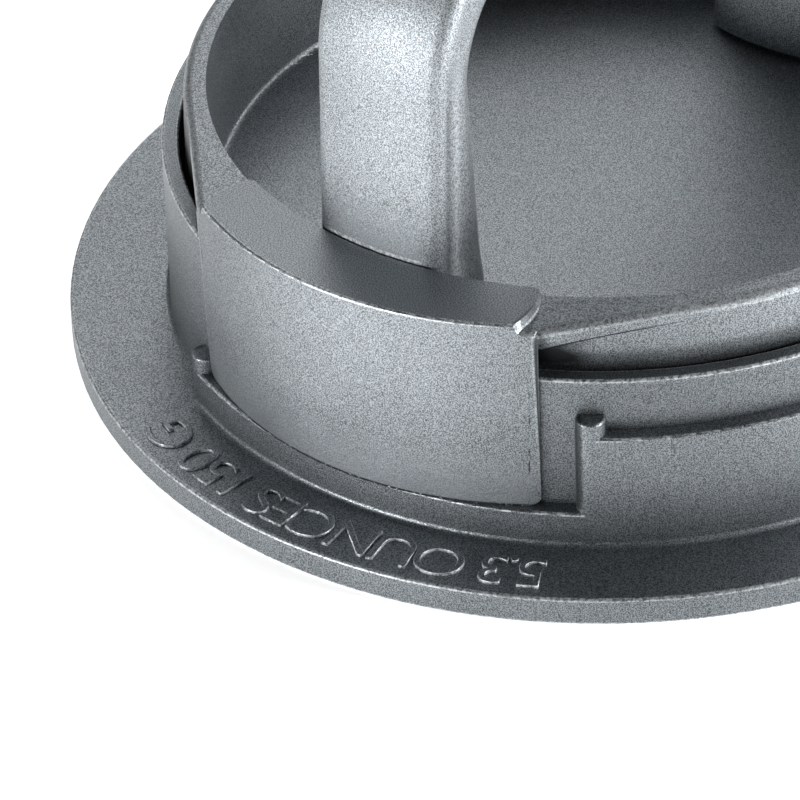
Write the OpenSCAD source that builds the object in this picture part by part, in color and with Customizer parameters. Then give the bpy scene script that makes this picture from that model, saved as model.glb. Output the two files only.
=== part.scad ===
// Burger press in cast aluminium. A flanged mould ring carries ledges at three heights, and a
// dished press stands on one pair of them by its two skirts, which sets the burger's thickness.
// An arch handle is screwed into the dish from below. The handle lies along X, the table is at
// Z zero, and the press rests on the middle pair of ledges, turned against its stops.

/* [Mould] */
// Diameter of the mould's bore, which is the burger's diameter
bore_d = 117.2; // [104:0.2:130]
// Thickness of the ring's wall
wall_t = 2.4; // [2:0.1:4]
// Height of the ring's top edge above the table
ring_h = 29.3; // [28:0.1:34]
// Thickness of the mould's floor
floor_t = 2.8; // [2:0.1:4]
// Width of the flange outside the ledges
flange_w = 11.6; // [8:0.2:20]
// Thickness of the flange
flange_t = 4.1; // [3.6:0.1:5]
// Rounding inside the mould, between its floor and its wall
mould_fillet = 1.2; // [0.5:0.1:1.5]

/* [Ledges] */
// Width of the ledges, outside the wall
ledge_w = 2.4; // [2:0.1:4]
// Height of the middle ledges above the flange
middle_rise = 5.2; // [4:0.1:8]
// Height of the high ledges above the flange
high_rise = 17.4; // [12:0.1:18]
// Width of the half-round post between two ledges
post_d = 4; // [3:0.1:5]
// Height of a post above the higher ledge beside it
post_rise = 2.4; // [1:0.1:4]

/* [Press] */
// Clearance between the press and the bore, on the radius
plunger_gap = 0.5; // [0.3:0.05:1]
// Height of the dish, from its underside to its rim
dish_h = 21.8; // [21:0.1:26]
// Thickness of the dish's floor
plate_t = 2.8; // [2.6:0.1:4]
// Width of the rim's top, with its rounded shoulder
rim_w = 3.15; // [2.6:0.05:4]
// How much narrower the dish is at its rim than at its foot, outside, on the radius
outer_draft = 0.45; // [0:0.05:0.8]
// How much wider the dish is at its rim than at its floor, inside, on the radius
inner_draft = 0.4; // [0:0.05:0.8]
// Rounding of the rim's outer shoulder
shoulder_r = 1.5; // [0.5:0.1:1.8]
// Rounding of the dish's lower edge
heel_r = 1.5; // [0.5:0.1:1.8]
// Rounding inside the dish, between its floor and its wall
dish_fillet = 1; // [0.5:0.1:1]

/* [Skirts] */
// Width of a skirt, measured straight across
skirt_w = 54.5; // [40:0.5:55]
// Clearance between a skirt and the ring's wall, on the radius
skirt_gap = 0.5; // [0.3:0.05:1]
// Thickness of a skirt at its middle
skirt_mid_t = 3.6; // [3:0.1:5]
// Thickness of a skirt at its ends
skirt_end_t = 1.6; // [1.6:0.1:2]
// How much a skirt's face draws in from its top to its foot
skirt_draft = 1.1; // [0.5:0.1:1.2]
// How far the skirts reach below the underside of the dish
skirt_drop = 6.9; // [6.5:0.1:9]
// Rounding of a skirt's upright edges
skirt_edge_r = 1.5; // [1:0.1:1.5]
// Rounding of a skirt's lower corners
skirt_corner_r = 2; // [1:0.1:4]
// Clearance between a skirt and the post that it is turned against
stop_gap = 0.3; // [0.2:0.05:0.6]

/* [Wings and pads] */
// Thickness of the web that joins the skirts to the rim
web_t = 2; // [1.8:0.1:3]
// Rounding of a wing's upper edge
wing_edge_r = 1.2; // [0.8:0.1:1.3]
// How far a wing's edge lies inside the rim's side where the two run together
wing_set = 0.2; // [0.2:0.1:0.4]
// Height of the raised pad over a skirt
pad_h = 1.2; // [0.6:0.1:2]
// Width of the raised pad
pad_w = 50.4; // [36:0.2:51]
// Radius of the pad's rounded ends
pad_end_r = 11; // [6:0.5:14]
// How far the pad's end slopes out down to the rim
pad_flare = 0.4; // [0.2:0.1:0.8]

/* [Handle] */
// Height of the handle above the floor of the dish
handle_h = 69; // [60:1:85]
// Clearance between the handle's legs and the wall of the dish
handle_gap = 0.3; // [0.2:0.05:0.5]
// Width of a leg at its foot
leg_w = 20; // [16:0.5:26]
// Depth of a leg at its foot
leg_foot_d = 15; // [13.5:0.5:18]
// Depth of a leg level with the rim
leg_rim_d = 13; // [11:0.5:16]
// Depth of a leg where the arch starts to bend
leg_top_d = 10.4; // [9:0.2:13]
// How far a leg leans in above the rim
leg_lean = 0.9; // [0:0.1:3]
// Radius of the arch's outer bends
bend_r = 24; // [20:1:28]
// Width of the grip at its middle
grip_w = 23; // [18:0.5:28]
// Thickness of the grip at its middle
grip_t = 12; // [10:0.5:15]
// Radius of the crowned outer face
crown_r = 45; // [30:1:60]
// Radius of the crowned inner face
palm_r = 36; // [30:1:60]
// Rounding of the outer edges
outer_edge_r = 2.4; // [1.5:0.1:3]
// Rounding of the inner edges
inner_edge_r = 3.6; // [2:0.1:4]
// Bevel round the foot of a leg
foot_bevel = 1.1; // [0.8:0.1:1.5]

/* [Screws] */
// Diameter of the screws' thread
screw_d = 5; // [4:0.5:5]
// Diameter of the countersunk head
head_d = 9.2; // [8.5:0.1:10]
// Length of a screw with its head
screw_l = 14; // [10:1:18]
// Size across the flats of the hexagon socket
socket_af = 3; // [2:0.5:3]
// Depth of the hexagon socket
socket_deep = 1.6; // [1:0.1:2]

/* [Edges] */
// Small rounding of cast edges
edge_r = 0.4; // [0.2:0.05:0.6]
// Small rounding at the foot of cast walls
foot_r = 0.8; // [0.3:0.1:0.9]

/* [Hidden] */

$fn = 144;
// Overrun of cuts and of joined solids
over = 1;
cast = [0.62, 0.63, 0.65];
steel = [0.78, 0.78, 0.8];

// Radii of the mould
bore_r = bore_d / 2;
wall_r = bore_r + wall_t;
ledge_r = wall_r + ledge_w;
flange_r = ledge_r + flange_w;
// Ledges and posts. The low ledges are the flange itself
turn = 360;
stop_count = 3;
skirt_count = 2;
recess_count = stop_count * skirt_count;
recess_turn = turn / recess_count;
rises = [0, middle_rise, high_rise];
rest_stop = 1;
post_r = post_d / 2;
// A post stands a little proud of the ledges beside it
post_proud = 0.15;
post_x = ledge_r + post_proud - post_r;
// Heights of the press at rest
seat_z = flange_t + rises[rest_stop];
plate_z = seat_z + skirt_drop;
dish_z = plate_z + plate_t;
rim_z = plate_z + dish_h;
pad_z = rim_z + pad_h;
web_z = rim_z - web_t;
// Radii of the dish
plunger_r = bore_r - plunger_gap;
rim_r = plunger_r - outer_draft;
dish_top_r = rim_r - rim_w;
dish_floor_r = dish_top_r - inner_draft;
// A skirt's face is part of a round barrel, flatter than the ring behind it
skirt_in_r = wall_r + skirt_gap;
skirt_mid_r = skirt_in_r + skirt_mid_t;
skirt_end_r = skirt_in_r + skirt_end_t;
skirt_half = skirt_w / 2;
skirt_end_x = sqrt(pow(skirt_end_r, 2) - pow(skirt_half, 2));
skirt_sag = skirt_mid_r - skirt_end_x;
face_r = (pow(skirt_half, 2) + pow(skirt_sag, 2)) / (2 * skirt_sag);
face_x = skirt_mid_r - face_r;
// Centre of the rounding at a skirt's upright edge. The round stands a little proud of the face,
// which trims it along a crisp line
tip_proud = 0.2;
tip_y = skirt_half - skirt_edge_r;
tip_x = face_x + sqrt(pow(face_r - skirt_edge_r + tip_proud, 2) - pow(tip_y, 2));
// Turn of the base under the press, which brings one end of each skirt to a post
skirt_end_turn = atan2(skirt_half, tip_x);
post_turn = asin((post_r + stop_gap) / post_x);
base_turn = recess_turn / 2 - skirt_end_turn - post_turn;
// A wing's edge lies along the line from the skirt's corner that touches the rim's circle, set in
// a little, so that it fades into the rim's side. Two such lines meet in front of the skirt
corner_turn = atan2(skirt_half, skirt_end_x);
wing_r = rim_r - wing_set;
wing_turn = corner_turn + acos(rim_r / skirt_end_r);
wing_root = wing_r * [cos(wing_turn), sin(wing_turn)];
wing_meet = wing_r / cos(wing_turn);
wing_l = sqrt(pow(wing_meet, 2) - pow(wing_r, 2));
// Centre of the pad's rounded ends
pad_x = (dish_top_r + rim_r) / 2;
pad_y = pad_w / 2 - pad_end_r;
// Outer face of the handle's legs, and centres of its bends
foot_x = dish_floor_r - handle_gap;
leg_rim_x = dish_top_r - handle_gap;
spring_x = leg_rim_x - leg_lean;
handle_z = dish_z + handle_h;
spring_z = handle_z - bend_r;
bend_x = spring_x - bend_r;
// Screws stand in the middle of the handle's feet
screw_r = screw_d / 2;
head_r = head_d / 2;
screw_x = foot_x - leg_foot_d / 2;
head_cone_h = head_r - screw_r;
screw_clear = 0.1;
thread_clear = 0.05;
head_sunk = 0.1;
head_rim_h = 0.2;
tap_room = 1;
socket_sides = 6;

// Sliver between a square corner at p and the round of radius r inside it, towards [sx, sy]
module sliver(p, sx, sy, r) {
    translate(p) mirror([sx < 0 ? 1 : 0, 0]) mirror([0, sy < 0 ? 1 : 0])
        difference() {
            translate([-over, -over]) square(r + over);
            translate([r, r]) circle(r);
        }
}

// Sliver that fills an inner corner, with no overrun past the faces that it joins
module corner_fill(p, sx, sy, r) {
    translate(p) mirror([sx < 0 ? 1 : 0, 0]) mirror([0, sy < 0 ? 1 : 0])
        difference() {
            translate([-edge_r / 2, -edge_r / 2]) square(r + edge_r / 2);
            translate([r, r]) circle(r);
        }
}

// Rectangle from corner a to corner b
module span(a, b) {
    translate(a) square(b - a);
}

// Base

// Section of the flange, floor and wall
module ring_section() {
    difference() {
        union() {
            span([0, 0], [flange_r, flange_t]);
            span([bore_r, 0], [wall_r, ring_h]);
            corner_fill([wall_r, flange_t], 1, 1, foot_r);
        }
        difference() {
            span([-over, floor_t], [bore_r, ring_h + over]);
            sliver([bore_r, floor_t], -1, 1, mould_fillet);
        }
        sliver([flange_r, flange_t], -1, -1, edge_r);
        sliver([flange_r, 0], -1, 1, edge_r);
        sliver([wall_r, ring_h], -1, -1, edge_r);
        sliver([bore_r, ring_h], 1, -1, edge_r);
    }
}

// Section of a tier of the ledges, from height z0 up to its top at height z1
module tier_section(z0, z1) {
    difference() {
        span([wall_r - wall_t / 2, z0], [ledge_r, z1]);
        sliver([ledge_r, z1], -1, -1, edge_r);
    }
}

// Half-round post that stands against the wall, from the flange up to height z
module post(z) {
    translate([post_x, 0, 0]) rotate([0, 0, turn / 2]) rotate_extrude() difference() {
        span([0, flange_t / 2], [post_r, z]);
        sliver([post_r, z], -1, -1, edge_r);
    }
}

module mould_base() {
    color(cast) rotate([0, 0, base_turn]) {
        rotate_extrude() ring_section();
        for (side = [0:skirt_count - 1]) rotate([0, 0, side * turn / skirt_count]) {
            // The lower tier runs under the high ledge too
            rotate([0, 0, -recess_turn / 2]) rotate_extrude(angle = 2 * recess_turn) {
                tier_section(flange_t / 2, flange_t + middle_rise);
                corner_fill([ledge_r, flange_t], 1, 1, foot_r);
            }
            rotate([0, 0, recess_turn / 2]) rotate_extrude(angle = recess_turn)
                tier_section(flange_t + middle_rise / 2, flange_t + high_rise);
            for (stop = [0:stop_count - 1]) rotate([0, 0, (stop - rest_stop + 1 / 2) * recess_turn])
                post(flange_t + max(rises[stop], rises[(stop + 1) % stop_count]) + post_rise);
        }
    }
}

// Press

// Outside of the dish, drawn in upwards, with a rounded heel and shoulder
module cup_section() {
    heel = [plunger_r - heel_r, plate_z + heel_r];
    shoulder = [rim_r - shoulder_r, rim_z - shoulder_r];
    polygon([
        [0, plate_z], [heel.x, plate_z], [plunger_r, heel.y],
        [rim_r, shoulder.y], [shoulder.x, rim_z], [0, rim_z]
    ]);
    translate(heel) circle(heel_r);
    translate(shoulder) circle(shoulder_r);
}

// Hollow of the dish, drawn on past the top of the pads
module dish_section() {
    low = [dish_floor_r - dish_fillet, dish_z + dish_fillet];
    top_z = pad_z + over;
    slope = inner_draft / (rim_z - low.y);
    polygon([
        [0, dish_z], [low.x, dish_z], [dish_floor_r, low.y],
        [dish_top_r + slope * (top_z - rim_z), top_z], [0, top_z]
    ]);
    translate(low) circle(dish_fillet);
}

// Barrel whose front is the face of a skirt, with its top edge rounded
module skirt_barrel() {
    crest = [face_r - edge_r, pad_z - edge_r];
    translate([face_x, 0, 0]) rotate_extrude() {
        polygon([
            [0, seat_z], [face_r - skirt_draft, seat_z],
            [face_r, crest.y], [crest.x, pad_z], [0, pad_z]
        ]);
        translate(crest) circle(edge_r);
    }
}

// Front view of a skirt, with rounded lower corners, carried through along X
module skirt_front() {
    rotate([90, 0, 90]) linear_extrude(skirt_mid_r + over) difference() {
        span([-skirt_half, seat_z], [skirt_half, pad_z + over]);
        for (s = [-1, 1]) sliver([s * skirt_half, seat_z], -s, 1, skirt_corner_r);
    }
}

// Plan of a skirt, with round ends, as a block of height z1 - z0
module skirt_plan(z0, z1) {
    translate([0, 0, z0]) linear_extrude(z1 - z0) {
        span([0, -tip_y], [skirt_mid_r + over, tip_y]);
        for (s = [-1, 1]) translate([tip_x, s * tip_y]) circle(skirt_edge_r);
    }
}

// Skirt that hangs from the web down to its ledge
module skirt() {
    difference() {
        intersection() {
            skirt_barrel();
            skirt_front();
            skirt_plan(seat_z, web_z + web_t / 2);
        }
        translate([0, 0, seat_z - over]) cylinder(h = web_z - seat_z + web_t, r = skirt_in_r);
    }
}

// Flat web that carries a skirt on the rim and runs out in wings on both sides
module web() {
    difference() {
        intersection() {
            skirt_barrel();
            translate([0, 0, web_z]) linear_extrude(web_t)
                polygon([[0, 0], wing_root, [wing_meet, 0], [wing_root.x, -wing_root.y]]);
        }
        for (s = [0, 1]) mirror([0, s, 0]) rotate([0, 0, wing_turn]) rotate([90, 0, 0])
            translate([0, 0, -over]) linear_extrude(wing_l + over)
                sliver([wing_r, rim_z], -1, -1, wing_edge_r);
    }
}

// Raised pad on the web, with rounded and sloping ends
module pad() {
    intersection() {
        skirt_barrel();
        union() {
            for (s = [-1, 1]) translate([pad_x, s * pad_y, rim_z - over])
                cylinder(h = pad_h + 2 * over, r1 = pad_end_r + pad_flare * (1 + over / pad_h),
                         r2 = pad_end_r - pad_flare * over / pad_h);
            translate([0, -pad_y, web_z]) cube([skirt_mid_r + over, 2 * pad_y, pad_h + web_t]);
        }
    }
}

// Countersunk hole through the dish's floor
module screw_hole() {
    translate([screw_x, 0, plate_z]) {
        translate([0, 0, -over]) cylinder(h = plate_t + 2 * over, r = screw_r + screw_clear);
        translate([0, 0, -over]) cylinder(h = over + head_sunk + head_rim_h, r = head_r + screw_clear);
        translate([0, 0, head_sunk + head_rim_h])
            cylinder(h = head_cone_h, r1 = head_r + screw_clear, r2 = screw_r + screw_clear);
    }
}

module press_plate() {
    color(cast) difference() {
        union() {
            rotate_extrude() cup_section();
            for (side = [0:skirt_count - 1]) rotate([0, 0, side * turn / skirt_count]) {
                skirt();
                web();
                pad();
            }
        }
        rotate_extrude() dish_section();
        for (side = [0:skirt_count - 1]) rotate([0, 0, side * turn / skirt_count]) screw_hole();
    }
}

// Handle

// Counts along the handle's loft: steps of each bend, and points of each arc of its section
bend_steps = 12;
face_steps = 8;
edge_steps = 5;

function mix(a, b, share) = a + (b - a) * share;

// Points of one face's crown and of the rounded edge on its right, from the middle outwards.
// Each point is [across, in from the face]
function half_face(w, crown, edge) =
    let (
        reach = w / 2 - edge,
        lean = asin(reach / (crown - edge)),
        centre = [reach, crown - (crown - edge) * cos(lean)]
    )
    concat(
        [for (i = [0:face_steps / 2 - 1])
            let (a = lean * i / (face_steps / 2)) [crown * sin(a), crown - crown * cos(a)]],
        [for (i = [0:edge_steps])
            let (a = mix(lean, 90, i / edge_steps)) centre + edge * [sin(a), -cos(a)]]
    );

function reversed(list) = [for (i = [len(list) - 1:-1:0]) list[i]];

// Closed section of width w and depth d: the crowned outer face, then the inner face
function section(w, d) =
    let (
        front = half_face(w, crown_r, outer_edge_r),
        back = [for (p = half_face(w, palm_r, inner_edge_r)) [p.x, d - p.y]],
        right = concat(front, reversed(back))
    )
    concat(right, [for (p = reversed(right)) if (p.x > 0) [-p.x, p.y]]);

// Station of the loft: outer point, direction from it into the handle, width and depth
function station(x, z, turned, w, d) = [[x, z], -[cos(turned), sin(turned)], w, d];

// Stations from the foot up to the middle of the grip, on the side of positive X
bevel_w = leg_w - 2 * foot_bevel;
bevel_d = leg_foot_d - 2 * foot_bevel;
half_loft = concat(
    [
        station(foot_x - foot_bevel, dish_z, 0, bevel_w, bevel_d),
        station(foot_x, dish_z + foot_bevel, 0, leg_w, leg_foot_d),
        station(leg_rim_x, rim_z, 0, leg_w, leg_rim_d)
    ],
    [for (i = [0:bend_steps])
        let (share = i / bend_steps, a = 90 * share)
        station(bend_x + bend_r * cos(a), spring_z + bend_r * sin(a), a,
                mix(leg_w, (leg_w + grip_w) / 2, share), mix(leg_top_d, grip_t, share / 2))],
    [station(0, handle_z, 90, grip_w, grip_t)]
);

// Ring of points at a station. The side is 1 for positive X and -1 for its mirror image
function loft_ring(s, side) =
    [for (p = section(s[2], s[3]))
        let (q = s[0] + s[1] * p.y) [side * q.x, side * p.x, q.y]];

module handle_loft() {
    last = len(half_loft) - 1;
    left = [for (i = [0:last]) loft_ring(half_loft[i], -1)];
    right = [for (i = [0:last - 1]) loft_ring(half_loft[i], 1)];
    // The left half's rings run the other way round, so they are matched point for point
    n = len(left[0]);
    rings = concat(left, [for (r = reversed(right)) [for (k = [0:n - 1]) [r[k].x, -r[k].y, r[k].z]]]);
    count = len(rings);
    points = [for (r = rings, p = r) p];
    sides = [for (i = [0:count - 2], k = [0:n - 1])
        let (a = i * n + k, b = i * n + (k + 1) % n)
        each [[a, b, b + n], [a, b + n, a + n]]];
    foot = [for (k = [n - 1:-1:0]) k];
    end = [for (k = [0:n - 1]) (count - 1) * n + k];
    polyhedron(points, concat(sides, [foot, end]), convexity = 6);
}

module handle() {
    color(cast) difference() {
        handle_loft();
        for (s = [-1, 1]) translate([s * screw_x, 0, dish_z - over])
            cylinder(h = over + screw_l - plate_t + tap_room, r = screw_r + thread_clear);
    }
}

// Screws

module handle_screws() {
    color(steel) for (s = [-1, 1]) translate([s * screw_x, 0, plate_z + head_sunk]) difference() {
        rotate_extrude() polygon([
            [0, 0], [head_r, 0], [head_r, head_rim_h], [screw_r, head_rim_h + head_cone_h],
            [screw_r, screw_l - edge_r], [screw_r - edge_r, screw_l], [0, screw_l]
        ]);
        translate([0, 0, -over])
            cylinder(h = over + socket_deep, d = socket_af / cos(180 / socket_sides), $fn = socket_sides);
    }
}

mould_base();
press_plate();
handle();
handle_screws();
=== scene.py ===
"""Looks for a cast burger press: its coat, the weights cast on its flange, and a small studio."""

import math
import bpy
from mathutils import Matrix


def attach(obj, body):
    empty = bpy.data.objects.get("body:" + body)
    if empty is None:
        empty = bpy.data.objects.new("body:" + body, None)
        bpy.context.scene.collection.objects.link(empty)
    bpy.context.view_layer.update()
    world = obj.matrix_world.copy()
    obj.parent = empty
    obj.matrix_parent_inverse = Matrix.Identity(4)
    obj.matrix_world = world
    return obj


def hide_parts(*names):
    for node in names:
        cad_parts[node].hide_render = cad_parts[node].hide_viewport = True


bl_info = {
    "name": "Burger Press Looks",
    "version": (1, 0, 0),
    "blender": (4, 5, 0),
    "location": "View3D > Sidebar > Burger Press",
    "description": "Dresses a cast burger press and sets up a studio for it",
    "category": "Object",
}

import bmesh
import bpy
from bpy.props import FloatProperty, FloatVectorProperty, PointerProperty, StringProperty
from mathutils import Euler, Vector

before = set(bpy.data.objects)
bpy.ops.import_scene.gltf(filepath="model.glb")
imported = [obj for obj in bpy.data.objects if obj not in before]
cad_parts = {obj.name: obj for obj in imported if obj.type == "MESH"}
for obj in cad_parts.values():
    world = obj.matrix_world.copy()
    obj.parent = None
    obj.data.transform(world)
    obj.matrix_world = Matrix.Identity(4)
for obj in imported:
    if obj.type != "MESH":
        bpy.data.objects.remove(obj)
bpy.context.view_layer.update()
MM = 0.001
# Distance from the press's axis to the centre of a skirt's face, in millimetres
SKIRT_CENTRE = 15.6583
# Turn of one of the mould's posts, and from each to the next, in degrees
POST_TURN = 212.05
POST_STEP = 60


# Sizes and finishes that a user would change


class PressSizes(bpy.types.PropertyGroup):
    """Sizes of what is dressed onto the castings."""

    weld: FloatProperty(
        name="Weld", description="Distance at which a casting's corners are merged",
        default=0.002 * MM, unit="LENGTH", precision=6,
    )
    level: FloatProperty(
        name="Level faces", description="Angle up to which two faces count as one flat face",
        default=math.radians(0.2), subtype="ANGLE",
    )
    crisp: FloatProperty(
        name="Crisp edges", description="Angle from which an edge stays crisp",
        default=math.radians(32), subtype="ANGLE",
    )
    slack: FloatProperty(
        name="Turned faces",
        description="Angle by which a facet of a turned form may look off its centre",
        default=math.radians(1.6), subtype="ANGLE",
    )
    fit: FloatProperty(
        name="Fit", description="How far off a round a corner may lie and still be part of it",
        default=0.035 * MM, unit="LENGTH", precision=6,
    )
    over_round: FloatProperty(
        name="Over a round",
        description="Turn between a facet on a round and the round's true side",
        default=math.radians(50), subtype="ANGLE",
    )
    sliver: FloatProperty(
        name="Sliver", description="Width below which a facet is shaded as its neighbour is",
        default=0.03 * MM, unit="LENGTH", precision=6,
    )
    fine_round: FloatProperty(
        name="Fine rounds", description="Outer rounds below this size are rubbed",
        default=0.5 * MM, unit="LENGTH", precision=5,
    )
    # Rubbing on fine outer rounds also paints a highlight along them
    rub_and_highlight: FloatProperty(
        name="Rubbed edges", description="How much a fine outer round is rubbed",
        default=0.75, min=0, max=1, subtype="FACTOR",
    )
    letter_foot: FloatProperty(
        name="Lettering radius", description="Radius of the feet of the cast weights",
        default=67 * MM, unit="LENGTH",
    )
    letter_size: FloatProperty(
        name="Lettering height", description="Height of the cast figures",
        default=6 * MM, unit="LENGTH",
    )
    letter_raise: FloatProperty(
        name="Lettering relief", description="How far the cast figures stand up",
        default=0.45 * MM, unit="LENGTH",
    )
    letter_arc: FloatProperty(
        name="Lettering arc", description="Turn that one line of figures fills",
        default=math.radians(53), subtype="ANGLE",
    )
    grain: FloatProperty(
        name="Grain", description="Size of the coat's grains",
        default=0.16 * MM, unit="LENGTH", precision=5,
    )
    chip: FloatProperty(
        name="Chips", description="Size of the chips on rubbed edges",
        default=0.45 * MM, unit="LENGTH", precision=5,
    )
    skin: FloatProperty(
        name="Skin", description="Size of the fine swells in the sprayed coat",
        default=1.4 * MM, unit="LENGTH", precision=5,
    )
    cloud: FloatProperty(
        name="Clouds", description="Size of the lighter and darker clouds in the coat",
        default=9 * MM, unit="LENGTH", precision=5,
    )
    swell: FloatProperty(
        name="Swells", description="Size of the broad swells in the cast surface",
        default=16 * MM, unit="LENGTH", precision=5,
    )


class PressFinish(bpy.types.PropertyGroup):
    """Colours and words of the press."""

    coat_dark: FloatVectorProperty(
        name="Dark grains", description="Colour of the darkest grains of the metallic coat",
        default=(0.070, 0.077, 0.083), size=3, min=0, max=1, subtype="COLOR",
    )
    coat_light: FloatVectorProperty(
        name="Light grains", description="Colour of the lightest grains of the metallic coat",
        default=(0.325, 0.354, 0.374), size=3, min=0, max=1, subtype="COLOR",
    )
    # Colour of rubbed coat, also used for painted highlights
    rubbed: FloatVectorProperty(
        name="Rubbed edges", description="Colour of the coat where edges are rubbed",
        default=(0.62, 0.65, 0.67), size=3, min=0, max=1, subtype="COLOR",
    )
    # Colour of dirty marks such as the seam's dashes, and also of painted shade on the castings
    dirt_and_shade: FloatVectorProperty(
        name="Dirt", description="Colour of stains and fine dark marks",
        default=(0.020, 0.022, 0.024), size=3, min=0, max=1, subtype="COLOR",
    )
    metallic: FloatProperty(
        name="Metallic", description="How metallic the coat is",
        default=0.92, min=0, max=1, subtype="FACTOR",
    )
    rubbed_metallic: FloatProperty(
        name="Rubbed metallic", description="How metallic the coat is where it is rubbed",
        default=0.4, min=0, max=1, subtype="FACTOR",
    )
    # The handle has the same coat as the press, made lighter as painted light
    handle_painted_light: FloatProperty(
        name="Handle", description="How much lighter the handle's coat is",
        default=1.2, min=0.5, max=2,
    )
    handle_metallic: FloatProperty(
        name="Handle metallic", description="How metallic the handle's coat is",
        default=0.7, min=0, max=1, subtype="FACTOR",
    )
    handle_matt: FloatProperty(
        name="Handle matt", description="How much rougher the handle's coat is",
        default=0.08, min=0, max=0.5, subtype="FACTOR",
    )
    steel: FloatVectorProperty(
        name="Steel", description="Colour of the screws",
        default=(0.62, 0.61, 0.60), size=3, min=0, max=1, subtype="COLOR",
    )
    steel_dull: FloatVectorProperty(
        name="Dull steel", description="Colour of the screws where they are dull",
        default=(0.34, 0.33, 0.32), size=3, min=0, max=1, subtype="COLOR",
    )
    low_mark: StringProperty(
        name="Low mark", description="Weight at the low ledges", default="4 OUNCES - 115 G",
    )
    middle_mark: StringProperty(
        name="Middle mark", description="Weight at the middle ledges", default="5.3 OUNCES 150 G",
    )
    high_mark: StringProperty(
        name="High mark", description="Weight at the high ledges", default="8 OUNCES - 225 G",
    )


# Shader maths


class Wire:
    """One output of a shader node. Sums and products on it add Math nodes."""

    def __init__(self, tree, socket):
        self.tree, self.socket = tree, socket

    def _math(self, operation, *values):
        node = self.tree.nodes.new("ShaderNodeMath")
        node.operation = operation
        for slot, value in zip(node.inputs, values):
            if isinstance(value, Wire):
                self.tree.links.new(value.socket, slot)
            else:
                slot.default_value = value
        return Wire(self.tree, node.outputs[0])

    def __add__(self, other):
        return self._math("ADD", self, other)

    def __sub__(self, other):
        return self._math("SUBTRACT", self, other)

    def __rsub__(self, other):
        return self._math("SUBTRACT", other, self)

    def __mul__(self, other):
        return self._math("MULTIPLY", self, other)

    def __abs__(self):
        return self._math("ABSOLUTE", self)

    __radd__ = __add__
    __rmul__ = __mul__


class Finish:
    """A material with one Principled shader, and the method that adds any other node to it."""

    def __init__(self, name):
        self.material = bpy.data.materials.new(name)
        self.material.use_nodes = True
        self.tree = self.material.node_tree
        self.shader = self.tree.nodes["Principled BSDF"]

    def node(self, kind, settings=None, inputs=None, out=0):
        """Adds a node. Its settings are set first, then the values or links of its sockets."""
        made = self.tree.nodes.new(kind)
        for key, value in (settings or {}).items():
            setattr(made, key, value)
        for key, value in (inputs or {}).items():
            self.join(value, made.inputs[key])
        return Wire(self.tree, made.outputs[out])

    def join(self, value, socket):
        if isinstance(value, Wire):
            self.tree.links.new(value.socket, socket)
        else:
            socket.default_value = value

    def set(self, **sockets):
        """Sets or links sockets of the Principled shader. An underscore stands for a space."""
        for key, value in sockets.items():
            self.join(value, self.shader.inputs[key.replace("_", " ")])

    def place(self):
        return self.node("ShaderNodeTexCoord", out="Object")

    def in_mm(self, place):
        """A place's X, Y and Z, and its distance from the upright axis, in millimetres."""
        times = {"operation": "MULTIPLY"}
        spot = self.node("ShaderNodeVectorMath", times, {0: place, 1: (1 / MM, 1 / MM, 1 / MM)})
        level = self.node("ShaderNodeVectorMath", times, {0: spot, 1: (1, 1, 0)})
        away = self.node("ShaderNodeVectorMath", {"operation": "LENGTH"}, {0: level}, out="Value")
        parts = [self.node("ShaderNodeSeparateXYZ", inputs={0: spot}, out=axis) for axis in "XYZ"]
        return [*parts, away]

    def noise(self, place, size, detail=2.0, rough=0.5):
        return self.node("ShaderNodeTexNoise", inputs={
            "Vector": place, "Scale": 1 / size, "Detail": detail, "Roughness": rough,
        })

    def span(self, value, low, high, to_low=0.0, to_high=1.0):
        """Runs from one share to another while a value runs from low to high."""
        return self.node("ShaderNodeMapRange", {"clamp": True}, {
            "Value": value, "From Min": low, "From Max": high, "To Min": to_low, "To Max": to_high,
        })

    def fade(self, value, low, high, share=1.0):
        """Falls from a share to 0 while a value runs from low to high."""
        return self.span(value, low, high, share, 0.0)

    def near(self, value, at, half, soft):
        """1 where a value is within half of a place, and 0 where it is soft further away."""
        return self.fade(abs(value - at), half, half + soft)

    def blend(self, share, a, b):
        return self.node("ShaderNodeMix", {"data_type": "RGBA"}, {0: share, 6: a, 7: b}, out=2)

    def bump(self, height, strength, depth, under=None):
        inputs = {"Height": height, "Strength": strength, "Distance": depth}
        if under is not None:
            inputs["Normal"] = under
        return self.node("ShaderNodeBump", inputs=inputs)


def opaque(colour):
    return (*colour, 1.0)


# Marks of each casting. They give how rubbed each place is, with painted highlights too, how dark
# it is, with dirty marks and painted shade, and how much painted light makes it paler. Lengths are
# in millimetres here, and chip is the noise that breaks rubbed places into chips.


def mould_marks(made, place, chip):
    """Painted shade darkens the mould's ring top, part of the ring's wall, and one side of each
    post with the ledges there.
    """
    x, y, z, away = made.in_mm(place)
    turn = made.node("ShaderNodeMath", {"operation": "ARCTAN2"}, {0: y, 1: x}) * math.degrees(1)
    past_post = made.node("ShaderNodeMath", {"operation": "WRAP"}, {
        0: turn - POST_TURN, 1: POST_STEP / 2, 2: -POST_STEP / 2,
    })
    on_ledges = made.span(away, 61.1, 61.5) * made.fade(away, 64, 65) * made.span(z, 9.6, 10)
    # Painted shade on one side of each post and on the ledges there
    beside_post = made.near(past_post, -1.65, 0.5, 0.4) * on_ledges
    # Painted shade makes the ring's wall darker where the skirts end, seen in the turn of a clock
    past_skirt = made.span(x * y, 0, 1200)
    on_wall = made.near(away, 61.0, 0.1, 0.1) * made.fade(z, 28.4, 28.8)
    # Painted shade on the ring's top
    on_top = made.span(z, 28.9, 29.1)
    dirt_and_shade = on_top * 0.15 + beside_post * 0.6 + on_wall * past_skirt * 0.25
    return 0.0, dirt_and_shade, 0.0


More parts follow.
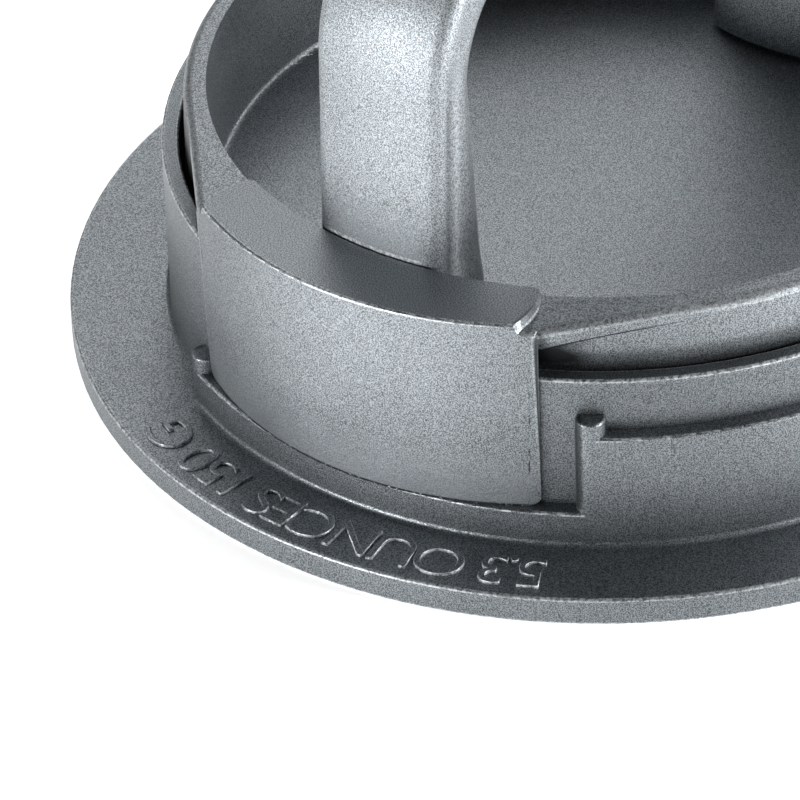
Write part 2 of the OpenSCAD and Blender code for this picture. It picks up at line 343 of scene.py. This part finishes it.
def handle_marks(made, place, chip):
    """Each leg's smooth sides get a line of painted shade and a line of painted highlight down
    them. Its front has a bright broken line along its lower edge, part chips and part painted
    highlight, and painted light above it. Low down, painted shade darkens its sides and one edge
    of its front.
    """
    x, y, z, _ = made.in_mm(place)
    # The legs lean in, and their sides run with them
    out = abs(x) + (z - 41.4) * 0.047
    on_side = made.span(abs(y), 9.4, 9.8)
    on_front = made.fade(abs(y), 6.5, 8)
    on_leg = made.fade(z, 62, 70)
    # Down the smooth sides: a line of painted shade, a line of painted highlight, and painted
    # shade on the part nearer the middle
    painted_groove_shade = made.near(out, 51.1, 0.1, 0.9)
    painted_bead_highlight = made.near(out, 49.3, 0.1, 0.8)
    flank_shade = made.fade(out, 46.4, 48.6)
    # The front's lower edge, where it passes the pad's inner edge, is bright and broken into
    # chips, which also paints a highlight there; just above it, painted light makes the front
    # paler
    chipped_and_highlit = made.span(out, 52.5, 53) * made.near(z, 39.35, 0.25, 0.12)
    painted_light = made.span(out, 52, 52.6) * made.fade(z, 39.6, 47, 0.45)
    # Low down, painted shade darkens the sides, and one edge of the front
    low = made.fade(z, 39.6, 50)
    edge = made.span(out, 51.2, 52) * made.fade(x * y, -480, -220)
    rub_and_highlight = painted_bead_highlight * on_side * on_leg * 0.3 + chipped_and_highlit * on_front
    dirt_and_shade = (painted_groove_shade * 0.4 + flank_shade * 0.36) * on_side * on_leg
    dirt_and_shade = dirt_and_shade + low * (on_side * 0.3 + edge * 0.45)
    return rub_and_highlight, dirt_and_shade, painted_light * on_front


def press_marks(made, place, chip):
    """The press has a dashed seam and rubbed skirt edges that also paint a highlight. Painted
    shadow runs broken along the skirts' feet, painted light makes their faces paler low down, and
    painted shade darkens their ends and places on the rim by the wings. The pads' ends are lighter
    and darker in parts, and a painted highlight runs where the dish's wall meets its floor.
    """
    x, y, z, away = made.in_mm(place)
    side = abs(y)
    ragged = made.noise(place, 1.6 * MM, 2.0)
    broken = made.noise(place, 5 * MM, 1.0)
    on_skirt = made.span(away, 62, 62.3)
    # The dashed seam leans out a little towards the top
    dashes = made.span(ragged, 0.49, 0.6) * made.span(broken, 0.42, 0.56) * made.span(z, 13, 15)
    seam = made.near(side - (z - 10) * 0.037, 25.78, 0.04, 0.07) * dashes
    # The skirts' upright edges are rubbed, and their brightness also paints a highlight along them
    worn_and_highlit = made.near(side, 27.05, 0.05, 0.12)
    # A dark broken line along the skirts' feet is painted shadow of the gap under them, broken up
    # like chips
    foot = made.near(z, 9.3, 0.2, 0.2) * made.span(chip, 0.34, 0.44)
    # Painted shade darkens the skirts' end faces
    end = made.span(side, 27.18, 27.24)
    # Painted light makes the skirts' faces paler low down
    painted_light = made.fade(z, 9.5, 18, 0.6)
    # The underside of each wing meets the rim along a curve, where the wing runs out, and a thin
    # line of painted shade is drawn along it
    on_rim = made.span(away, 57.2, 57.4) * made.fade(away, 58.2, 58.6)
    run = side - 24.8
    above = z - 31.5 - run * 0.333 + run * (side - 33.8) * 0.0101
    line = made.near(above, 0, 0.04, 0.08) * made.fade(side, 36, 41.5, 0.8)
    # Painted shade darkens a band round the rim's foot where the dish meets the ring, and the
    # recess under each wing beside the skirt
    crevice_shade = made.near(z, 30, 0.9, 1.1) * 0.4
    recess = made.fade(side, 27, 31.5, 0.95) * made.span(z, 29.2, 30.2) * made.fade(above, -0.1, 0)
    # Where the skirts start, seen in the turn of a clock, painted shade darkens the rim under the
    # wings
    starts = made.fade(x * y, -200, 0)
    lee = made.fade(side, 44, 52, 0.8) * made.span(z, 26, 29) * made.fade(z, 37.2, 37.4)
    # The pads' sloping ends are lighter and ragged at their foot, and darker above it except where
    # the skirts start
    tip = made.span(side, 24.6, 24.8) * made.span(z, 38.03, 38.1)
    low = made.fade(z, 38.3, 38.45)
    # Where the dish's wall turns into its floor, a thin painted highlight runs along the round
    crease_highlight = made.near(z, 19.4, 0.06, 0.1) * made.near(away, 53.6, 0.7, 0.1)
    rub_and_highlight = worn_and_highlit * on_skirt * 0.3 + crease_highlight * 0.8 + tip * low * made.span(ragged, 0.42, 0.52) * 0.8
    dirt_and_shade = ((seam + foot) * 0.9 + end * 0.75) * on_skirt
    dirt_and_shade = dirt_and_shade + (line + crevice_shade + recess + lee * starts) * on_rim
    dirt_and_shade = dirt_and_shade + tip * (1 - low) * (1 - starts) * 0.4
    return rub_and_highlight, dirt_and_shade, painted_light * on_skirt


# The marks that each coat has, by the coat's name
MARKS = {"mould_coat": mould_marks, "handle_coat": handle_marks, "press_coat": press_marks}
# Most of a noise's values lie between these
NOISE_SPAN = (0.3, 0.7)
# Where grains run from dark to light, and where rubbed places and painted highlights break into
# chips
GRAIN_SPAN = (0.36, 0.64)
CHIP_SPAN = (0.4, 0.58)


def cast_coat(name, finish, sizes):
    """Sprayed metallic coat over a casting: sparkling grains, rubbed bright on small edges, which
    also paints highlights there, and each casting's marks.
    """
    made = Finish(name)
    place = made.place()
    grain = made.noise(place, sizes.grain, 0.0)
    flake = made.noise(place, sizes.grain * 1.7, 1.0)
    cloud = made.noise(place, sizes.cloud, 3.0)
    skin = made.noise(place, sizes.skin, 2.0)
    chip = made.noise(place, sizes.chip, 2.0)
    swell = made.noise(place, sizes.swell, 1.0)
    on_handle = name == "handle_coat"
    # The handle's copy of the coat is made lighter as painted light
    shade = finish.handle_painted_light if on_handle else 1.0
    dark, light, bare = (
        opaque(Vector(c) * shade) for c in (finish.coat_dark, finish.coat_light, finish.rubbed)
    )
    # How light each place is: mostly its grain, and the rest its flake and cloud
    share = made.span(grain, *GRAIN_SPAN, 0.0, 0.78) + made.span(flake, *NOISE_SPAN, 0.0, 0.14)
    share = share + made.span(cloud, *NOISE_SPAN, 0.0, 0.08)
    # Each casting's marks: rubbing and painted highlights, dirty marks and painted shade, and
    # painted light that makes the coat paler
    more, dirt_and_shade, painted_light = MARKS[name](made, place, chip)
    colour = made.blend(painted_light, made.blend(share, dark, light), light)
    colour = made.blend(dirt_and_shade, colour, opaque(finish.dirt_and_shade))
    # Rubbed edges and painted highlights, from the faces' edge attribute and the marks
    rub_and_highlight = made.node("ShaderNodeAttribute", {"attribute_name": "edge"}, out="Fac") + more
    worn_and_highlit = rub_and_highlight * made.span(chip, *CHIP_SPAN, 0.1, 0.9)
    colour = made.blend(worn_and_highlit, colour, bare)
    rough = made.span(flake, *NOISE_SPAN, 0.46, 0.38) + made.span(cloud, *NOISE_SPAN, 0.0, 0.05)
    metal = made.span(worn_and_highlit, 0, 1, finish.metallic, finish.rubbed_metallic)
    if on_handle:
        metal, rough = finish.handle_metallic, rough + finish.handle_matt
    # What swells, from broad to fine, and where dirty marks and painted shade lie: how strongly,
    # and how far in millimetres
    relief = (
        (swell, 0.25, 0.25), (skin, 0.3, 0.08), (chip, 0.4, 0.06), (grain, 0.6, 0.04),
        (1 - dirt_and_shade, 0.5, 0.12),
    )
    normal = None
    for height, strength, depth in relief:
        normal = made.bump(height, strength, depth * MM, normal)
    made.set(Base_Color=colour, Metallic=metal, Roughness=rough, Normal=normal, IOR=1.5)
    return made.material


def screw_steel(name, finish, sizes):
    """Plain stainless steel with fine turning marks."""
    made = Finish(name)
    place = made.place()
    turned = made.noise(place, 0.3 * MM, 3.0)
    dull = made.span(made.noise(place, 3 * MM, 2.0), 0.35, 0.75, 0.0, 0.35)
    made.set(
        Base_Color=made.blend(dull, opaque(finish.steel), opaque(finish.steel_dull)),
        Metallic=1.0, Roughness=made.span(turned, *NOISE_SPAN, 0.24, 0.36),
        Normal=made.bump(turned, 0.2, 0.02 * MM),
    )
    return made.material


# The floor is a lit table. Its glow, and its brighter pools: turn in degrees, cosines of the turns
# from there at which a pool starts and is full, radii where it does so, and how much it adds
FLOOR_GLOW = 0.7
POOLS = (
    (175, 0.80, 0.966, 0.085, 0.100, 1.55),
    (175, 0.80, 0.966, 0.115, 0.135, 0.44),
    (275, 0.70, 0.906, 0.115, 0.135, 3.27),
)


def lit_table(name):
    """Pale floor that glows evenly, with brighter pools beside the press."""
    made = Finish(name)
    place = made.place()
    away = made.node("ShaderNodeVectorMath", {"operation": "LENGTH"}, {0: place}, out="Value")
    ahead = made.node("ShaderNodeVectorMath", {"operation": "NORMALIZE"}, {0: place})
    glow = FLOOR_GLOW
    for turn, start, full, near, far, gain in POOLS:
        a = math.radians(turn)
        side = made.node("ShaderNodeVectorMath", {"operation": "DOT_PRODUCT"}, {
            0: ahead, 1: (math.cos(a), math.sin(a), 0),
        }, out="Value")
        glow = glow + made.span(side, start, full) * made.span(away, near, far, 0.0, gain)
    made.set(
        Base_Color=(0.9, 0.9, 0.9, 1), Roughness=0.9, Specular_IOR_Level=0.1,
        Emission_Color=glow, Emission_Strength=1.0,
    )
    return made.material


def finish_named(name, maker, context):
    """The finish of that name, made the first time that it is asked for."""
    found = bpy.data.materials.get(name)
    if found is None:
        found = maker(name, context.scene.press_finish, context.scene.press_sizes)
    return found


# Pieces


# A face is upright where its normal rises or falls by less than the first of these, and level
# where it does so by more than the second. Below the third it is too sheer for a rubbed band.
UPRIGHT, LEVEL, SHEER = 0.1, 0.9998, 0.02


def piece(name, mesh, body, material):
    """An object that rides on a body of the frame, with its place in its mesh."""
    made = bpy.data.objects.new(name, mesh)
    bpy.context.scene.collection.objects.link(made)
    mesh.materials.clear()
    mesh.materials.append(material)
    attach(made, body)
    return made


def turned_about(face, centres, slack):
    """The upright line, out of those given, that a face is turned round, and its lean. Or None."""
    level = face.normal.xy
    best = None
    for centre in centres:
        out = (face.calc_center_median().xy - centre).normalized()
        off = abs(level.cross(out))
        if off < math.sin(slack) and (best is None or off < best[0]):
            best = (off, centre, math.atan2(face.normal.z, level.dot(out)))
    return best and best[1:]


def on_round(v, face, rounds, sizes):
    """The exact normal where a corner of a face lies on one of a casting's rounds. Or None."""
    for centre, radius, height, size, side in rounds:
        out = v.co.xy - centre
        lean = Vector((out.length - radius, v.co.z - height))
        if abs(lean.length - size) < sizes.fit:
            lean = lean.normalized() * side
            out.normalize()
            normal = Vector((out.x * lean.x, out.y * lean.x, lean.y))
            if normal.angle(face.normal, math.pi) < sizes.over_round:
                return normal
    return None


def leader(face, sizes):
    """The first sound face across the long edges of a sliver, which the sliver is shaded with."""
    seen = set()
    while True:
        seen.add(face)
        longest = max(face.edges, key=lambda edge: edge.calc_length())
        if 2 * face.calc_area() > sizes.sliver * longest.calc_length():
            return face
        beside = [other for other in longest.link_faces if other not in seen]
        if not beside:
            return face
        face = beside[0]


def standing(face, near, far):
    """Whether a face is upright and its middle is between two radii."""
    return near < face.calc_center_median().xy.length < far and abs(face.normal.z) < UPRIGHT


def cut_level(shape, flush):
    """Cuts tall facets along the ledges' top, so that the two parts can be shaded differently."""
    _, top, near, far = flush
    tall = [
        face for face in shape.faces if standing(face, near, far)
        and min(v.co.z for v in face.verts) < top < max(v.co.z for v in face.verts)
    ]
    edges = {edge for face in tall for edge in face.edges}
    verts = {v for face in tall for v in face.verts}
    bmesh.ops.bisect_plane(
        shape, geom=[*tall, *edges, *verts], dist=0.001 * MM,
        plane_co=(0, 0, top), plane_no=(0, 0, 1),
    )


def true_normals(shape, centres, rounds, flush, sizes):
    """Corner normals of the planes, turned forms and rounds that a casting's facets stand for."""
    turned = {face: turned_about(face, centres, sizes.slack) for face in shape.faces}
    flush_faces = set()
    if flush:
        low, top, near, far = flush
        for face in shape.faces:
            if low < face.calc_center_median().z < top and standing(face, near, far):
                turned[face] = (Vector((0, 0)), 0.0)
                flush_faces.add(face)
    areas = {face: face.calc_area() for face in shape.faces}
    normals = []
    for face in shape.faces:
        lead = leader(face, sizes)
        for v in face.verts:
            normal = None if lead in flush_faces else on_round(v, lead, rounds, sizes)
            if normal is None and abs(lead.normal.z) > LEVEL:
                normal = lead.normal.copy()
            elif normal is None and turned[lead]:
                centre, lean = turned[lead]
                out = (v.co.xy - centre).normalized() * math.cos(lean)
                normal = Vector((out.x, out.y, math.sin(lean)))
            elif normal is None:
                near_by = [
                    f for f in v.link_faces if f.normal.angle(lead.normal, math.pi) < sizes.crisp
                ]
                normal = sum((f.normal * areas[f] for f in near_by), lead.normal * areas[lead])
                normal.normalize()
            normals.append(normal)
    return normals


def how_rubbed(face, rounds, bands, sizes):
    """How rubbed a face is, which also paints a highlight: as its band says, or less on a fine
    outer round, or not at all.
    """
    middle = face.calc_center_median()
    for low, high, near, far, lean, share in bands:
        if (low * MM < middle.z < high * MM and near * MM < middle.xy.length < far * MM
                and SHEER < abs(face.normal.z) < lean):
            return share
    for centre, radius, height, size, side in rounds:
        lean = Vector(((middle.xy - centre).length - radius, middle.z - height))
        if side > 0 and size < sizes.fine_round and abs(lean.length - size) < sizes.fit:
            return sizes.rub_and_highlight
    return 0.0


def mark(mesh, rubs):
    """Stores on a mesh how rubbed its faces are, which also paints highlights, for the coat to
    read.
    """
    edge = mesh.attributes.new("edge", "FLOAT", "FACE")
    edge.data.foreach_set("value", [float(rub_and_highlight) for rub_and_highlight in rubs])


def merged(node, centres, rounds, bands, flush, sizes):
    """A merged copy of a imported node's mesh, shaded as the forms that it is made of."""
    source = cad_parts[node].data
    mesh = bpy.data.meshes.new(node + "_dressed")
    shape = bmesh.new()
    shape.from_mesh(source)
    bmesh.ops.remove_doubles(shape, verts=shape.verts, dist=sizes.weld)
    bmesh.ops.dissolve_degenerate(shape, dist=sizes.weld, edges=shape.edges)
    bmesh.ops.dissolve_limit(
        shape, angle_limit=sizes.level, verts=shape.verts, edges=shape.edges, delimit={"NORMAL"}
    )
    shape.normal_update()
    if flush:
        cut_level(shape, flush)
    for face in shape.faces:
        face.smooth = True
        face.normal_update()
    normals = true_normals(shape, centres, rounds, flush, sizes)
    rubs = [how_rubbed(face, rounds, bands, sizes) for face in shape.faces]
    shape.to_mesh(mesh)
    shape.free()
    mesh.normals_split_custom_set(normals)
    mark(mesh, rubs)
    return mesh


class Casting:
    """What the operators for the three castings share.

    Centres are the places along X of the upright lines that a casting's forms are turned round.
    Each of its rounds is such a place, the radius and height of the round's middle, its size, and
    1 where it is an outer round or -1 where it is a hollow one, all in millimetres. Each of its
    bands is two heights, two radii, the most that a face may look up, and how rubbed it is there,
    a rubbing that also paints a highlight.
    Flush gives two heights and two radii between which upright faces are shaded as one turned
    form.
    """

    node = piece_name = body = coat = ""
    centres = rounds = bands = ()
    flush = None

    def execute(self, context):
        sizes = context.scene.press_sizes
        centres = [Vector((x * MM, 0)) for x in self.centres]
        rounds = [
            (Vector((x * MM, 0)), radius * MM, height * MM, size * MM, side)
            for x, radius, height, size, side in self.rounds
        ]
        flush = self.flush and [value * MM for value in self.flush]
        mesh = merged(self.node, centres, rounds, self.bands, flush, sizes)
        coat = finish_named(self.coat, cast_coat, context)
        made = piece(self.piece_name, mesh, self.body, coat)
        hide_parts(self.node)
        return {"FINISHED"}


class PRESS_OT_mould(Casting, bpy.types.Operator):
    """Dress the mould with its flange, ledges and posts"""

    bl_idname = "press.mould"
    bl_label = "Mould"
    node, piece_name, body, coat = "mould_base", "mould_casting", "base", "mould_coat"
    centres = (0,)
    rounds = (
        (0, 57.4, 4.0, 1.2, -1), (0, 59.0, 28.9, 0.4, 1), (0, 60.6, 28.9, 0.4, 1),
        (0, 63.0, 21.1, 0.4, 1), (0, 63.0, 8.9, 0.4, 1), (0, 61.8, 4.9, 0.8, -1),
        (0, 64.2, 4.9, 0.8, -1), (0, 74.6, 3.7, 0.4, 1), (0, 74.6, 0.4, 0.4, 1),
    )
    # The posts' fronts where they pass the middle ledges
    flush = (4.2, 9.29, 63.3, 63.7)


class PRESS_OT_dish(Casting, bpy.types.Operator):
    """Dress the dished press with its skirts, pads and wings"""

    bl_idname = "press.dish"
    bl_label = "Dished press"
    node, piece_name, body, coat = "press_plate", "press_casting", "press", "press_coat"
    centres = (0, -SKIRT_CENTRE, SKIRT_CENTRE)
    rounds = (
        (0, 53.1, 20.0, 1.0, -1), (0, 56.6, 17.7, 1.5, 1), (0, 56.15, 36.5, 1.5, 1),
        (SKIRT_CENTRE, 49.0417, 38.8, 0.4, 1), (-SKIRT_CENTRE, 49.0417, 38.8, 0.4, 1),
    )
    # The pads' ends, and the rounding along the wings and the rim, whose rubbing is also a painted
    # highlight
    bands = ((38.02, 39.3, 52, 61.2, 0.99, 0.05), (36.6, 37.99, 56.2, 60.5, 0.97, 0.3))


class PRESS_OT_handle(Casting, bpy.types.Operator):
    """Dress the arch handle"""

    bl_idname = "press.handle"
    bl_label = "Handle"
    node, piece_name, body, coat = "handle", "handle_casting", "press", "handle_coat"


class PRESS_OT_screws(bpy.types.Operator):
    """Give the two countersunk screws their steel"""

    bl_idname = "press.screws"
    bl_label = "Screws"

    def execute(self, context):
        steel = finish_named("screw_steel", screw_steel, context)
        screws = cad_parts["handle_screws"]
        screws.data.materials.clear()
        screws.data.materials.append(steel)
        return {"FINISHED"}


# How high capitals are as a share of the font's size
CAP_HEIGHT = 0.69
# How much of the figures' relief is their rounded top, and how much thinner than the font's their
# strokes are, as a share of their height
TOP_SHARE = 0.35
THINNER = 0.026
# How far the gaps between figures open for each share that a line is too short for its arc
OPENING = 1.9
# Turn of the line at the middle ledges, and from each line to the next, in degrees
MIDDLE_LINE = 180.7
LINE_STEP = 120
# Height of the flange's top. The figures' middles lie there, and their lower half is inside it.
FLANGE_TOP = 4.1 * MM
# A figure's face is a rubbed side, rubbed bright also as a painted highlight, where its normal
# rises or falls by less than this
SIDE_RISE = 0.9


def line_of_figures(words, sizes, turn):
    """One line of raised figures, bent round the flange with its middle at that turn."""
    text = bpy.data.curves.new("figures", "FONT")
    text.body = words
    text.align_x = "CENTER"
    text.size = sizes.letter_size / CAP_HEIGHT
    text.extrude = (1 - TOP_SHARE) * sizes.letter_raise
    text.bevel_depth = TOP_SHARE * sizes.letter_raise
    text.offset = -THINNER * sizes.letter_size
    text.bevel_resolution = 2
    text.resolution_u = 6
    holder = bpy.data.objects.new("figures", text)
    bpy.context.scene.collection.objects.link(holder)
    bpy.context.view_layer.update()
    widths = [corner[0] for corner in holder.bound_box]
    natural = max(widths) - min(widths)
    centre = sizes.letter_foot + sizes.letter_size / 2
    full = centre * sizes.letter_arc
    text.space_character = 1 + (full - natural) / natural * OPENING
    bpy.context.view_layer.update()
    depsgraph = bpy.context.evaluated_depsgraph_get()
    made = bpy.data.meshes.new_from_object(holder.evaluated_get(depsgraph))
    bpy.data.objects.remove(holder)
    bpy.data.curves.remove(text)
    shape = bmesh.new()
    shape.from_mesh(made)
    bpy.data.meshes.remove(made)
    across = [v.co.x for v in shape.verts]
    squeeze = full / (max(across) - min(across))
    middle = (max(across) + min(across)) / 2
    for v in shape.verts:
        a = turn - (v.co.x - middle) * squeeze / centre
        r = sizes.letter_foot + v.co.y
        v.co = Vector((r * math.cos(a), r * math.sin(a), v.co.z))
    return shape


class PRESS_OT_weights(bpy.types.Operator):
    """Cast the weight that each pair of ledges gives on the flange beside it"""

    bl_idname = "press.weights"
    bl_label = "Cast weights"

    def execute(self, context):
        sizes, finish = context.scene.press_sizes, context.scene.press_finish
        whole = bmesh.new()
        lines = (finish.low_mark, -1), (finish.middle_mark, 0), (finish.high_mark, 1)
        for words, step in lines:
            shape = line_of_figures(words, sizes, math.radians(MIDDLE_LINE - LINE_STEP * step))
            part = bpy.data.meshes.new("line")
            shape.to_mesh(part)
            shape.free()
            whole.from_mesh(part)
            bpy.data.meshes.remove(part)
        bmesh.ops.translate(whole, verts=whole.verts, vec=(0, 0, FLANGE_TOP))
        bmesh.ops.remove_doubles(whole, verts=whole.verts, dist=sizes.weld)
        bmesh.ops.recalc_face_normals(whole, faces=whole.faces)
        mesh = bpy.data.meshes.new("cast_weights")
        sides = [abs(face.normal.z) < SIDE_RISE for face in whole.faces]
        whole.to_mesh(mesh)
        whole.free()
        mark(mesh, sides)
        coat = finish_named("mould_coat", cast_coat, context)
        piece("cast_weights", mesh, "base", coat)
        return {"FINISHED"}


# Studio


# Soft boxes: name, turn and height above the horizon in degrees, width in metres, power in watts
LIGHTS = (
    ("key_box", 162, 8, 0.15, 7.3),
    ("right_box", -75, 12, 0.2, 10.0),
    ("right_back_box", -15, 12, 0.5, 5.2),
    ("right_high_box", -55, 50, 0.5, 1.4),
    ("back_left_box", 75, 40, 0.6, 0.6),
    ("left_box", 115, 20, 0.4, 0.9),
    ("back_low_box", 35, 35, 0.6, 1.74),
    ("back_box", 35, 50, 0.6, 1.24),
    ("back_high_box", 35, 70, 0.6, 0.5),
)
# How far the soft boxes stand from the middle of the floor, and half the floor's width, in metres
LIGHT_AWAY = 1.0
FLOOR_HALF = 3
# The floor lies this far below the mould, so that the two don't share a plane
FLOOR_DROP = 0.05 * MM
# The camera's place in metres and turn in degrees, and its film and lens in millimetres
CAMERA_PLACE = (-0.644793, -0.444516, 0.552457)
CAMERA_TURN = (53.9472, 1.7841, -54.5434)
CAMERA_FILM, CAMERA_LENS = 36, 308.864


def panel_light(name, place, size, power):
    """A square soft box at a place, turned to the middle of the floor."""
    lamp = bpy.data.lights.new(name, "AREA")
    lamp.shape, lamp.size, lamp.energy = "SQUARE", size, power
    made = bpy.data.objects.new(name, lamp)
    bpy.context.scene.collection.objects.link(made)
    made.location = place
    made.rotation_euler = (-Vector(place)).to_track_quat("-Z", "Y").to_euler()


def round_place(turn, height, away):
    """A point at that turn and height above the horizon, both in degrees, and that far away."""
    a, e = math.radians(turn), math.radians(height)
    return (away * math.cos(e) * math.cos(a), away * math.cos(e) * math.sin(a), away * math.sin(e))


class PRESS_OT_studio(bpy.types.Operator):
    """Set up the floor, the lights and the camera"""

    bl_idname = "press.studio"
    bl_label = "Studio"

    def execute(self, context):
        scene = context.scene
        shape = bmesh.new()
        bmesh.ops.create_grid(shape, x_segments=1, y_segments=1, size=FLOOR_HALF)
        bmesh.ops.translate(shape, verts=shape.verts, vec=(0, 0, -FLOOR_DROP))
        mesh = bpy.data.meshes.new("floor")
        shape.to_mesh(mesh)
        shape.free()
        floor = bpy.data.objects.new("floor", mesh)
        scene.collection.objects.link(floor)
        mesh.materials.append(lit_table("pale_floor"))

        # The boxes and the floor light the press, and the sky stays dark
        world = bpy.data.worlds.new("studio")
        scene.world = world
        world.use_nodes = True
        sky = world.node_tree.nodes["Background"]
        sky.inputs["Strength"].default_value = 0.0

        for name, turn, height, size, power in LIGHTS:
            panel_light(name, round_place(turn, height, LIGHT_AWAY), size, power)

        lens = bpy.data.cameras.new("camera")
        lens.sensor_width, lens.lens = CAMERA_FILM, CAMERA_LENS
        lens.clip_start, lens.clip_end = 0.01, 20
        camera = bpy.data.objects.new("camera", lens)
        scene.collection.objects.link(camera)
        camera.location = CAMERA_PLACE
        camera.rotation_euler = Euler([math.radians(a) for a in CAMERA_TURN], "XYZ")
        scene.camera = camera
        scene.view_settings.view_transform = "Standard"
        return {"FINISHED"}


STEPS = (
    PRESS_OT_mould, PRESS_OT_dish, PRESS_OT_handle, PRESS_OT_screws, PRESS_OT_weights,
    PRESS_OT_studio,
)


class PRESS_PT_panel(bpy.types.Panel):
    """Panel with the press's sizes, finishes and steps"""

    bl_idname = "PRESS_PT_panel"
    bl_label = "Burger Press"
    bl_space_type = "VIEW_3D"
    bl_region_type = "UI"
    bl_category = "Burger Press"

    def draw(self, context):
        layout = self.layout
        for group in (context.scene.press_sizes, context.scene.press_finish):
            box = layout.box()
            for key in group.bl_rna.properties.keys():
                if key not in ("rna_type", "name"):
                    box.prop(group, key)
        for step in STEPS:
            layout.operator(step.bl_idname)


CLASSES = (PressSizes, PressFinish, *STEPS, PRESS_PT_panel)


def register():
    for item in CLASSES:
        bpy.utils.register_class(item)
    bpy.types.Scene.press_sizes = PointerProperty(type=PressSizes)
    bpy.types.Scene.press_finish = PointerProperty(type=PressFinish)


def unregister():
    del bpy.types.Scene.press_finish
    del bpy.types.Scene.press_sizes
    for item in reversed(CLASSES):
        bpy.utils.unregister_class(item)


def main():
    register()
    bpy.ops.press.mould()
    bpy.ops.press.dish()
    bpy.ops.press.handle()
    bpy.ops.press.screws()
    bpy.ops.press.weights()
    bpy.ops.press.studio()


if __name__ == "__main__":
    main()
